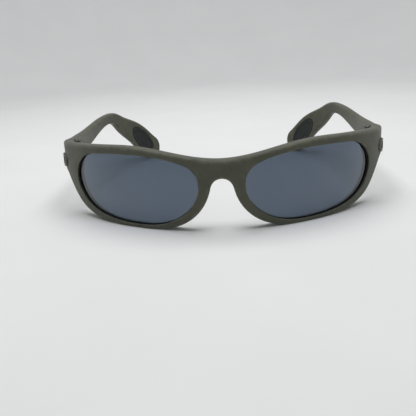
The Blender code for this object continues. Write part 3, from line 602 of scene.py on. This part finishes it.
def build_front():
    """The moulded front: half of it as a loft round the lens, mirrored, then cut for what it holds."""
    rows = [front_row(k) for k in range(len(OUTLINE))]
    points, faces = ring_loft(rows)
    count = len(rows[0])
    wall = range(FACE_STEPS, FACE_STEPS + 2 * (ROUND_STEPS + 1) - 1)
    on_middle = {k for k in range(len(rows)) if KINDS[k] == "middle"}
    kept = []
    for index, face in enumerate(faces):
        k, j = divmod(index, count)
        if j in wall and (k in on_middle or (k + 1) % len(rows) in on_middle):
            continue
        if j in range(FACE_STEPS, FACE_STEPS + ROUND_STEPS) and k in on_middle:
            continue
        kept.append(face)
    front = mesh_object("moulded_front", points, kept)
    form = bmesh.new()
    form.from_mesh(front.data)
    bmesh.ops.remove_doubles(form, verts=form.verts, dist=0.002 * MM)
    form.to_mesh(front.data)
    form.free()
    mirror = front.modifiers.new("mirror", "MIRROR")
    mirror.use_axis = (True, False, False)
    mirror.merge_threshold = 0.02 * MM
    cutters = []
    for side in (1, -1):
        cutters += [badge_pocket(side), leaf_pocket(side), barrel_relief("front", side)]
        cutters += rivet_holes("front", -1, side)
    return soften(cut(front, cutters))


def build_seal(side):
    """The black ring between the front lip and the lens, with rounded corners."""
    low = LIP + FIT_GAP
    high = low + SEAL_DEPTH
    inner = SEAL_INNER
    corner = SEAL_CORNER
    section = (
        (inner + corner, low),
        (SEAL_REACH, low),
        (SEAL_REACH, high),
        (inner + corner, high),
        (inner + 0.3 * corner, high - 0.3 * corner),
        (inner, high - corner),
        (inner, low + corner),
        (inner + 0.3 * corner, low + 0.3 * corner),
    )
    rows = [[edge_place(k, *place) for place in section] for k in range(len(EDGE))]
    return soften(mesh_object(f"seal_{name_of(side)}", *ring_loft(rows), side))


def build_lens(side):
    """The lens: two curved faces a lens thickness apart, with a black chamfered edge."""
    reach = EDGE + LENS_REACH * EDGE_OUT
    front_depth = LIP + SEAL_DEPTH + 2 * FIT_GAP
    shares = np.linspace(0, 1, LENS_RINGS + 1)[1:]
    clear = EDGE - BLACK_EDGE * EDGE_OUT
    outlines = [LENS_MIDDLE + share * (clear - LENS_MIDDLE) for share in shares]
    outlines.append(reach - LENS_CHAMFER * EDGE_OUT)
    rows = []
    for depth, turned in ((front_depth, LENS_CHAMFER), (front_depth + LENS_THICKNESS, -LENS_CHAMFER)):
        rings = [[front_point(s, z, depth) for s, z in outline] for outline in outlines]
        rings.append([front_point(s, z, depth + turned) for s, z in reach])
        rows += rings if turned > 0 else rings[::-1]
    points, faces = lofted(rows)
    points[-2] = front_point(*LENS_MIDDLE, front_depth)
    points[-1] = front_point(*LENS_MIDDLE, front_depth + LENS_THICKNESS)
    lens = mesh_object(f"smoke_lens_{name_of(side)}", points, faces, side)
    around = len(EDGE)
    for face in lens.data.polygons:
        face.material_index = int(LENS_RINGS - 1 <= face.index // around <= LENS_RINGS + 3)
    return soften(lens)


# ---- Badge ---------------------------------------------------------------------------------------


def badge_place(u, v, depth):
    return front_point(SPLIT_AT - BADGE_FROM_SPLIT + u, BADGE_CENTRE + v, depth)


def badge_pocket(side):
    wide = (BADGE_LENGTH + 2 * SMALL_GAP, BADGE_HEIGHT + 2 * SMALL_GAP)
    rows = ((*wide, -2 * BADGE_PROUD), (*wide, BADGE_POCKET))
    return oval_solid(f"badge_pocket_{name_of(side)}", badge_place, rows, side)


def build_badge(side):
    """A plain oval ring with rounded shoulders."""
    inner = (BADGE_LENGTH - 2 * BADGE_RING, BADGE_HEIGHT - 2 * BADGE_RING)
    back = BADGE_POCKET - SMALL_GAP
    inner_shoulder = 0.6 * BADGE_SHOULDER
    rows = [(*inner, back), (BADGE_LENGTH, BADGE_HEIGHT, back)]
    for inset, down in reversed(quarter(BADGE_SHOULDER, BADGE_SHOULDER)):
        rows.append((BADGE_LENGTH - 2 * inset, BADGE_HEIGHT - 2 * inset, down - BADGE_PROUD))
    for inset, down in quarter(inner_shoulder, inner_shoulder):
        rows.append((inner[0] + 2 * inset, inner[1] + 2 * inset, down - BADGE_PROUD))
    loft = ring_loft(oval_rings(badge_place, rows))
    return soften(mesh_object(f"badge_ring_{name_of(side)}", *loft, side))


def build_inlay(side):
    """The dark plate inside the ring, with a bevelled edge and a slightly dished face."""
    inner = (BADGE_LENGTH - 2 * BADGE_RING, BADGE_HEIGHT - 2 * BADGE_RING)
    size = (inner[0] - 2 * SMALL_GAP, inner[1] - 2 * SMALL_GAP)
    back = BADGE_POCKET - SMALL_GAP
    rows = [
        (*size, back),
        (*size, INLAY_EDGE - INLAY_SUNK),
        (size[0] - 2 * INLAY_EDGE, size[1] - 2 * INLAY_EDGE, -INLAY_SUNK),
        (0.7 * size[0], 0.7 * size[1], 0.06 * MM - INLAY_SUNK),
        (0.35 * size[0], 0.35 * size[1], 0.1 * MM - INLAY_SUNK),
    ]
    return soften(oval_solid(f"badge_plate_{name_of(side)}", badge_place, rows, side))


# ---- Hinge hollows -------------------------------------------------------------------------------


def leaf_inner_face():
    return SPLIT.x - END_THICKNESS - REST_GAP - LEAF_THICKNESS


def rivet_holes(owner, way, side):
    """Holes for a leaf's two rivets: way -1 in the front, 1 in the temple."""
    inner = leaf_inner_face()
    end = inner + LEAF_THICKNESS + REST_GAP + RIVET_BITE + SMALL_GAP
    holes = []
    for number in range(2):
        y = PIN.y + way * (RIVET_FIRST + number * RIVET_PITCH)
        name = f"hole_{owner}_{name_of(side)}_{number}"
        ends = ((inner - MM, y, PIN.z), (end, y, PIN.z))
        holes.append(bar(name, RIVET_RADIUS + SMALL_GAP, *ends, side, HOLE_STEPS))
    return holes


def barrel_relief(owner, side):
    """The hollow that lets the knuckles turn beside the wall."""
    ends = ((PIN.x, PIN.y, PIN.z - END_HEIGHT), (PIN.x, PIN.y, PIN.z + END_HEIGHT))
    return bar(f"relief_{owner}_{name_of(side)}", BARREL_RADIUS + REST_GAP, *ends, side, RELIEF_STEPS)


def leaf_pocket(side):
    """The recess in the front's inner face that the front's leaf lies in."""
    half = LEAF_HEIGHT / 2 + SMALL_GAP
    low = (SPLIT.x - 4 * END_THICKNESS, PIN.y - LEAF_LENGTH - SMALL_GAP, PIN.z - half)
    high = (leaf_inner_face() + LEAF_THICKNESS + SMALL_GAP, PIN.y + SPLIT_GAP, PIN.z + half)
    return block(f"leaf_pocket_{name_of(side)}", low, high, side)


# ---- Temples -------------------------------------------------------------------------------------


def temple_spine():
    """The temple's middle line and half height along it, as rows of (t, z, half height)."""
    neck = HINGE_HEIGHT + NECK_RISE
    paddle = PADDLE_HEIGHT / 2
    end_z = paddle + 0.2 * MM
    return (
        (0.0, HINGE_HEIGHT, END_HEIGHT / 2),
        (0.18 * NECK_AT, HINGE_HEIGHT + 0.1 * MM, 0.47 * END_HEIGHT),
        (0.45 * NECK_AT, HINGE_HEIGHT + 0.3 * MM, 0.42 * END_HEIGHT),
        (0.72 * NECK_AT, HINGE_HEIGHT + 0.5 * NECK_RISE, 0.65 * NECK_HEIGHT),
        (NECK_AT, neck, NECK_HEIGHT / 2),
        (1.12 * NECK_AT, neck - 0.17 * NECK_RISE, 0.63 * NECK_HEIGHT),
        (0.66 * NECK_AT + 0.34 * TEMPLE_LENGTH, 0.78 * neck + 0.22 * end_z, 0.335 * PADDLE_HEIGHT),
        (0.34 * NECK_AT + 0.66 * TEMPLE_LENGTH, 0.42 * neck + 0.58 * end_z, 0.475 * PADDLE_HEIGHT),
        (TEMPLE_LENGTH - paddle, end_z + 0.15 * PADDLE_HEIGHT, paddle),
        (TEMPLE_LENGTH, end_z - 0.28 * PADDLE_HEIGHT, paddle),
    )


def temple_sections(steps):
    """Middles, directions across, half heights and shares of the length of the temple's sections."""
    spine = smooth_curve(temple_spine(), 800)
    line, half = spine[:, :2], spine[:, 2]
    across = inward_normals(line)
    run = run_of(line)
    tip = half[-1]
    body_steps = round(steps * 0.75)
    body = np.linspace(0, run[-1] - tip, body_steps)
    turn = np.linspace(0, math.pi / 2, steps - body_steps + 1)[1:]
    turn[-1] *= 0.985
    at = np.concatenate([body, run[-1] - tip + tip * np.sin(turn)])
    squeeze = np.concatenate([np.ones(body_steps), np.cos(turn)])
    pick = [np.interp(at, run, v) for v in (line[:, 0], line[:, 1], across[:, 0], across[:, 1], half)]
    middle, ways_across = np.column_stack(pick[:2]), unit(np.column_stack(pick[2:4]))
    halves = pick[4] * squeeze
    lowest = (middle[:, 1] - halves * np.abs(ways_across[:, 1])).min()
    middle[:, 1] -= (lowest + REST_FLAT) * ease(NECK_AT, TEMPLE_LENGTH - tip, middle[:, 0])
    return middle, ways_across, halves, at / run[-1]


def temple_row(middle, across, half, share):
    """One section: a rounded rectangle, as points on the temple's curved surface."""
    thin = END_THICKNESS + (TEMPLE_THICKNESS - END_THICKNESS) * ease(0.0, 0.25, share)
    depth = thin + (TIP_THICKNESS - TEMPLE_THICKNESS) * ease(0.55, 0.95, share)
    grown = ease(0.0, 0.06, share)
    round_off = END_ROUND + (min(0.4 * depth, 0.48 * half) - END_ROUND) * grown
    round_off = min(round_off, 0.48 * half)
    corner = quarter(round_off, round_off)
    shape = []
    for sign in (1, -1):
        outer = [(sign * (half - down), out) for out, down in corner]
        inner = [(v, depth - d) for v, d in reversed(outer)]
        shape += outer[::-1] + inner[::-1] if sign > 0 else (outer[::-1] + inner[::-1])[::-1]
    row = []
    for v, n in shape:
        t, z = middle + v * across
        row.append(temple_point(t, max(z, 0.0), n))
    return row


def pad_frame():
    """The pad's middle, long direction and direction across, on the temple's surface."""
    middle, across, _, share = temple_sections(PAD_PLACE_STEPS)
    lengths = share * TEMPLE_LENGTH / share[-1]
    wanted = TEMPLE_LENGTH - PAD_BACK
    spot = np.array([np.interp(wanted, lengths, middle[:, k]) for k in (0, 1)])
    side_way = unit(np.array([np.interp(wanted, lengths, across[:, k]) for k in (0, 1)]))
    return spot, np.array([side_way[1], -side_way[0]]), side_way


PAD_SPOT, PAD_ALONG, PAD_ACROSS = pad_frame()


def pad_place(u, v, height):
    """A point over the pad's middle: u along it, v across it, height inwards from the temple's inner face."""
    t, z = PAD_SPOT + u * PAD_ALONG + v * PAD_ACROSS
    return temple_point(t, z, TIP_THICKNESS + height)


def build_temple(side):
    """A temple as a loft along its curve, cut for the barrel, the rivets and the pad."""
    rows = [temple_row(*section) for section in zip(*temple_sections(TEMPLE_STEPS))]
    temple = mesh_object(f"temple_arm_{name_of(side)}", *lofted(rows), side)
    pocket_size = (PAD_LENGTH + 2 * PAD_GAP, PAD_WIDTH + 2 * PAD_GAP)
    rows = ((*pocket_size, -PAD_POCKET), (*pocket_size, 3 * MM))
    cutters = [oval_solid(f"pad_pocket_{name_of(side)}", pad_place, rows, side)]
    cutters += [barrel_relief("temple", side), *rivet_holes("temple", 1, side)]
    return soften(cut(temple, cutters))


def build_pad(side):
    """The rubber pad: a rounded rim, a groove inside it and a crowned middle."""
    floor = PAD_GAP - PAD_POCKET
    rows = [(PAD_LENGTH, PAD_WIDTH, floor)]
    for inset, down in reversed(quarter(PAD_ROUND, PAD_ROUND)):
        rows.append((PAD_LENGTH - 2 * inset, PAD_WIDTH - 2 * inset, PAD_PROUD - down))
    for inset, height in PAD_GROOVE:
        rows.append((PAD_LENGTH - 2 * inset * MM, PAD_WIDTH - 2 * inset * MM, height * MM))
    for share in (0.6, 0.35, 0.12):
        rows.append((share * PAD_LENGTH, share * PAD_WIDTH * 0.8, PAD_CROWN))
    return soften(oval_solid(f"ear_pad_{name_of(side)}", pad_place, rows, side), 50)


# ---- Materials -----------------------------------------------------------------------------------


# The third colour of each olive is a painted highlight, laid on the convex edges.
OLIVE = {"light": (0.086, 0.091, 0.064), "dark": (0.073, 0.078, 0.056), "painted_highlight": (0.20, 0.18, 0.12)}
BADGE_OLIVE = {"light": (0.07, 0.072, 0.053), "dark": (0.06, 0.062, 0.045), "painted_highlight": (0.16, 0.15, 0.12)}
LINT = (0.42, 0.42, 0.38)
LENS_TINTS = ((0.078, 0.106, 0.146), (0.086, 0.115, 0.157))
LENS_SHADOW = (0.45, 0.5, 0.56, 1)
LENS_DUST = (0.3, 0.32, 0.34)
SEAL_BLACK = ((0.004, 0.005, 0.006), (0.009, 0.010, 0.011))
PAD_BLACK = ((0.006, 0.008, 0.008), (0.011, 0.013, 0.013))
RUBBER_DUST = (0.2, 0.2, 0.19)
INLAY_BLACK = ((0.006, 0.006, 0.007), (0.014, 0.014, 0.015))
STEEL = ((0.10, 0.10, 0.103), (0.17, 0.17, 0.17))
PAPER = ((0.79, 0.795, 0.8), (0.815, 0.82, 0.825))


class Finish:
    """A Principled material with a small set of procedural helpers, in object space."""

    def __init__(self, name, **constants):
        self.material = bpy.data.materials.new(name)
        self.material.use_nodes = True
        self.tree = self.material.node_tree
        self.shader = self.tree.nodes["Principled BSDF"]
        self.place = self.node("ShaderNodeTexCoord").outputs["Object"]
        for socket, value in constants.items():
            self.shader.inputs[socket.replace("_", " ")].default_value = value

    def node(self, kind, **settings):
        made = self.tree.nodes.new(kind)
        for key, value in settings.items():
            if key.startswith("in_"):
                made.inputs[key[3:].replace("_", " ")].default_value = value
            else:
                setattr(made, key, value)
        return made

    def link(self, output, target):
        self.tree.links.new(output, target)

    def stretched(self, scale):
        mapping = self.node("ShaderNodeMapping")
        mapping.inputs["Scale"].default_value = scale
        self.link(self.place, mapping.inputs["Vector"])
        return mapping.outputs["Vector"]

    def noise(self, size, detail=3.0, rough=0.5, place=None):
        """Noise of about this feature size, in metres."""
        made = self.node("ShaderNodeTexNoise", in_Scale=1 / size, in_Detail=detail, in_Roughness=rough)
        self.link(place or self.place, made.inputs["Vector"])
        return made.outputs["Fac"]

    def ramp(self, value, stops):
        """A colour or grey ramp from (position, colour) stops."""
        made = self.node("ShaderNodeValToRGB")
        elements = made.color_ramp.elements
        while len(elements) < len(stops):
            elements.new(0.5)
        for element, (at, colour) in zip(elements, stops):
            element.position = at
            element.color = (*colour, 1) if isinstance(colour, tuple) else (colour, colour, colour, 1)
        self.link(value, made.inputs["Fac"])
        return made.outputs["Color"]

    def blend(self, share, below, above):
        """A mix of two colours, each a socket or a colour."""
        made = self.node("ShaderNodeMix", data_type="RGBA")
        self.link(share, made.inputs[0])
        for socket, value in ((made.inputs[6], below), (made.inputs[7], above)):
            if isinstance(value, tuple):
                socket.default_value = (*value, 1)
            else:
                self.link(value, socket)
        return made.outputs[2]

    def maths(self, operation, first, second):
        made = self.node("ShaderNodeMath", operation=operation)
        for socket, value in zip(made.inputs, (first, second)):
            if isinstance(value, (int, float)):
                socket.default_value = value
            else:
                self.link(value, socket)
        return made.outputs[0]

    def specks(self, spacing, radius, kept):
        """Small spots, about spacing apart, shown in this share of the cells."""
        made = self.node("ShaderNodeTexVoronoi", in_Scale=1 / spacing)
        self.link(self.place, made.inputs["Vector"])
        spot = self.maths("LESS_THAN", made.outputs["Distance"], radius / spacing)
        chosen = self.node("ShaderNodeSeparateColor")
        self.link(made.outputs["Color"], chosen.inputs[0])
        return self.maths("MULTIPLY", spot, self.maths("LESS_THAN", chosen.outputs[0], kept))

    def colour(self, socket):
        self.link(socket, self.shader.inputs["Base Color"])

    def roughness(self, low, high, size, detail=2.0, place=None):
        value = self.node("ShaderNodeMapRange")
        value.inputs["To Min"].default_value = low
        value.inputs["To Max"].default_value = high
        self.link(self.noise(size, detail, place=place), value.inputs["Value"])
        self.link(value.outputs["Result"], self.shader.inputs["Roughness"])

    def bump(self, *layers):
        """Bump layers, each (height socket, depth in metres, strength)."""
        normal = None
        for height, depth, strength in layers:
            made = self.node("ShaderNodeBump", in_Distance=depth, in_Strength=strength)
            self.link(height, made.inputs["Height"])
            if normal is not None:
                self.link(normal, made.inputs["Normal"])
            normal = made.outputs["Normal"]
        self.link(normal, self.shader.inputs["Normal"])


def soft_touch(name, light, dark, painted_highlight, low=0.6, high=0.78):
    """Rubberised olive paint: mottled, finely grained, with a painted highlight in patches on its convex
    edges, and a little lint.
    """
    made = Finish(name, Sheen_Weight=0.25, Sheen_Roughness=0.4, Specular_IOR_Level=0.35)
    mottle = made.ramp(made.noise(9 * MM, 4.0), [(0.35, dark), (0.65, light)])
    grain = made.ramp(made.noise(0.35 * MM, 2.0), [(0.3, 0.82), (0.7, 1.0)])
    multiply = made.node("ShaderNodeMix", data_type="RGBA", blend_type="MULTIPLY")
    multiply.inputs[0].default_value = 1.0
    made.link(mottle, multiply.inputs[6])
    made.link(grain, multiply.inputs[7])
    geometry = made.node("ShaderNodeNewGeometry")
    # Painted highlight: a lighter colour on the convex edges, in patches.
    edge = made.ramp(geometry.outputs["Pointiness"], [(0.5, 0.0), (0.56, 0.55)])
    patches = made.ramp(made.noise(2.5 * MM, 3.0), [(0.42, 0.0), (0.62, 1.0)])
    painted_highlight_share = made.maths("MULTIPLY", edge, patches)
    painted = made.blend(painted_highlight_share, multiply.outputs[2], painted_highlight)
    lint = made.maths("MULTIPLY", made.specks(2.2 * MM, 0.09 * MM, 0.35), 0.5)
    made.colour(made.blend(lint, painted, LINT))
    made.roughness(low, high, 1.5 * MM)
    made.bump(
        (made.noise(0.16 * MM, 2.0, 0.7), 0.03 * MM, 0.35),
        (made.noise(1.2 * MM, 2.0), 0.05 * MM, 0.12),
    )
    return made.material


def smoke_lens():
    """Smoke grey polycarbonate, with faint smears and dust. Shadow rays pass through it, tinted."""
    made = Finish("smoke_polycarbonate", Transmission_Weight=1.0, IOR=1.5)
    tint = made.ramp(made.noise(14 * MM, 2.0), [(0.3, LENS_TINTS[0]), (0.7, LENS_TINTS[1])])
    dust = made.maths("MULTIPLY", made.specks(3.5 * MM, 0.08 * MM, 0.3), 0.4)
    made.colour(made.blend(dust, tint, LENS_DUST))
    made.roughness(0.02, 0.09, 7 * MM, 3.0)
    made.bump((made.noise(6 * MM, 1.0), 0.01 * MM, 0.05))
    output = made.tree.nodes["Material Output"]
    through = made.node("ShaderNodeBsdfTransparent")
    through.inputs["Color"].default_value = LENS_SHADOW
    mix = made.node("ShaderNodeMixShader")
    made.link(made.node("ShaderNodeLightPath").outputs["Is Shadow Ray"], mix.inputs[0])
    made.link(made.shader.outputs[0], mix.inputs[1])
    made.link(through.outputs[0], mix.inputs[2])
    made.link(mix.outputs[0], output.inputs["Surface"])
    return made.material


def rubber(name, dark, light, grain, strength):
    """Black rubber with a fine grain, slight bloom and dust."""
    made = Finish(name, Sheen_Weight=0.15, Sheen_Roughness=0.5, Specular_IOR_Level=0.4)
    bloom = made.ramp(made.noise(2.5 * MM, 4.0), [(0.35, dark), (0.7, light)])
    dust = made.maths("MULTIPLY", made.specks(1.8 * MM, 0.08 * MM, 0.3), 0.35)
    made.colour(made.blend(dust, bloom, RUBBER_DUST))
    made.roughness(0.5, 0.72, 0.8 * MM)
    made.bump((made.noise(grain, 2.0, 0.6), 0.05 * MM, strength))
    return made.material


def gloss_inlay():
    """Moulded black plate with a faint satin grain."""
    made = Finish("inlay_black", Coat_Weight=0.4, Coat_Roughness=0.12)
    made.colour(made.ramp(made.noise(0.8 * MM), [(0.3, INLAY_BLACK[0]), (0.7, INLAY_BLACK[1])]))
    made.roughness(0.28, 0.42, 0.5 * MM)
    made.bump((made.noise(0.12 * MM, 2.0), 0.01 * MM, 0.2))
    return made.material


def brushed_steel():
    """Stamped steel, brushed along its length."""
    made = Finish("hinge_steel", Metallic=1.0, Anisotropic=0.4)
    lines = made.stretched((1.0, 0.06, 1.0))
    streak = made.noise(0.12 * MM, 3.0, 0.6, place=lines)
    made.colour(made.ramp(streak, [(0.3, STEEL[0]), (0.7, STEEL[1])]))
    made.roughness(0.24, 0.46, 0.15 * MM, 3.0, place=lines)
    made.bump((streak, 0.01 * MM, 0.25))
    return made.material


def table_paper():
    """The pale floor, with the faint mottling of paper."""
    made = Finish("table_paper", Specular_IOR_Level=0.15)
    made.colour(made.ramp(made.noise(60 * MM, 3.0), [(0.3, PAPER[0]), (0.7, PAPER[1])]))
    made.roughness(0.75, 0.9, 5 * MM)
    made.bump((made.noise(1.5 * MM, 3.0), 0.05 * MM, 0.04))
    return made.material


# ---- Stage, lights and camera --------------------------------------------------------------------


def build_stage():
    """A round pale floor that turns up into a wall all the way round, so it is plain from all sides."""
    profile = [(r * MM, 0.0) for r in FLOOR_RADII]
    for a in np.radians(np.linspace(5, 85, 17)):
        out = FLOOR_RADII[-1] * MM + FLOOR_TURN * math.sin(a)
        profile.append((out, FLOOR_TURN * (1 - math.cos(a))))
    turns = turns_of(STAGE_STEPS)
    rows = [[(r * math.cos(a), r * math.sin(a) - SHIFT.y, z) for a in turns] for r, z in profile]
    points, faces = lofted(rows, closed_ends=False)
    faces.append(tuple(range(STAGE_STEPS)))
    floor = mesh_object("floor", points, faces)
    floor.data.shade_smooth()
    floor.data.materials.append(table_paper())


def area_light(name, size, power, at, towards, colour=(1, 1, 1)):
    light = bpy.data.lights.new(name, "AREA")
    light.shape = "RECTANGLE"
    light.size, light.size_y = size
    light.energy = power
    light.color = colour
    obj = bpy.data.objects.new(name, light)
    obj.location = at
    obj.rotation_euler = (Vector(towards) - Vector(at)).to_track_quat("-Z", "Y").to_euler()
    bpy.context.scene.collection.objects.link(obj)


def build_lights():
    """One broad soft light overhead, and an even pale surround."""
    area_light("overhead", (0.55, 0.6), 3.6, (0.0, 0.06, 0.6), (0.0, 0.0, 0.0), (1.0, 0.995, 0.985))
    world = bpy.data.worlds.new("surround")
    world.use_nodes = True
    background = world.node_tree.nodes["Background"]
    background.inputs["Color"].default_value = (0.97, 0.985, 1.0, 1)
    background.inputs["Strength"].default_value = 0.25
    bpy.context.scene.world = world
    bpy.context.scene.view_settings.view_transform = "Standard"


def build_camera():
    """A camera about a hand's span away, looking down a little at the front."""
    pitch, roll, yaw = (math.radians(v) for v in (18.0, -3.19, -2.4))
    distance = 217.5 * MM
    target = Vector((-5.65 * MM, SHIFT.y, 9.88 * MM))
    ahead = Vector((math.sin(yaw) * math.cos(pitch), math.cos(yaw) * math.cos(pitch), -math.sin(pitch)))
    level = Vector((math.cos(yaw), -math.sin(yaw), 0))
    above = level.cross(ahead)
    right = math.cos(roll) * level + math.sin(roll) * above
    up = -math.sin(roll) * level + math.cos(roll) * above
    data = bpy.data.cameras.new("camera")
    data.sensor_width = 36.0
    data.lens = 49.45
    data.clip_start = 0.005
    camera = bpy.data.objects.new("camera", data)
    turn = Matrix((right, up, -ahead)).transposed().to_4x4()
    camera.matrix_world = Matrix.Translation(target - distance * ahead) @ turn
    bpy.context.scene.collection.objects.link(camera)
    bpy.context.scene.camera = camera


# ---- Assembly ------------------------------------------------------------------------------------


def build_glasses():
    """All the pieces on their bodies, and the metal's own finish."""
    olive = soft_touch("olive_soft_touch", **OLIVE)
    ring = soft_touch("badge_soft_touch", **BADGE_OLIVE, low=0.42, high=0.58)
    smoke = smoke_lens()
    black = rubber("seal_rubber", *SEAL_BLACK, 0.2 * MM, 0.2)
    pad_rubber = rubber("pad_rubber", *PAD_BLACK, 0.3 * MM, 0.6)
    inlay = gloss_inlay()
    steel = brushed_steel()
    finish_piece(build_front(), "front", "front_frame", "frame", olive)
    for side in (1, -1):
        name = name_of(side)
        finish_piece(build_seal(side), "front", f"lens_seal_{name}", "seal", black)
        finish_piece(build_lens(side), "front", f"lens_{name}", "lens", smoke, black)
        finish_piece(build_badge(side), "front", f"badge_{name}", "badge", ring)
        finish_piece(build_inlay(side), "front", f"badge_inlay_{name}", "inlay", inlay)
        finish_piece(build_temple(side), f"temple_{name}", f"temple_{name}", "frame", olive)
        finish_piece(build_pad(side), f"temple_{name}", f"temple_pad_{name}", "pad", pad_rubber)
    for name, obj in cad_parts.items():
        if name.startswith(("hinge_", "rivet_")):
            obj.data.materials.clear()
            obj.data.materials.append(steel)
            weld = obj.modifiers.new("weld", "WELD")
            weld.merge_threshold = 0.001 * MM
            bevel = obj.modifiers.new("bevel", "BEVEL")
            bevel.width = METAL_BEVEL
            bevel.segments = 2
            bevel.limit_method = "ANGLE"
            bevel.angle_limit = math.radians(40)


build_glasses()
build_stage()
build_lights()
build_camera()
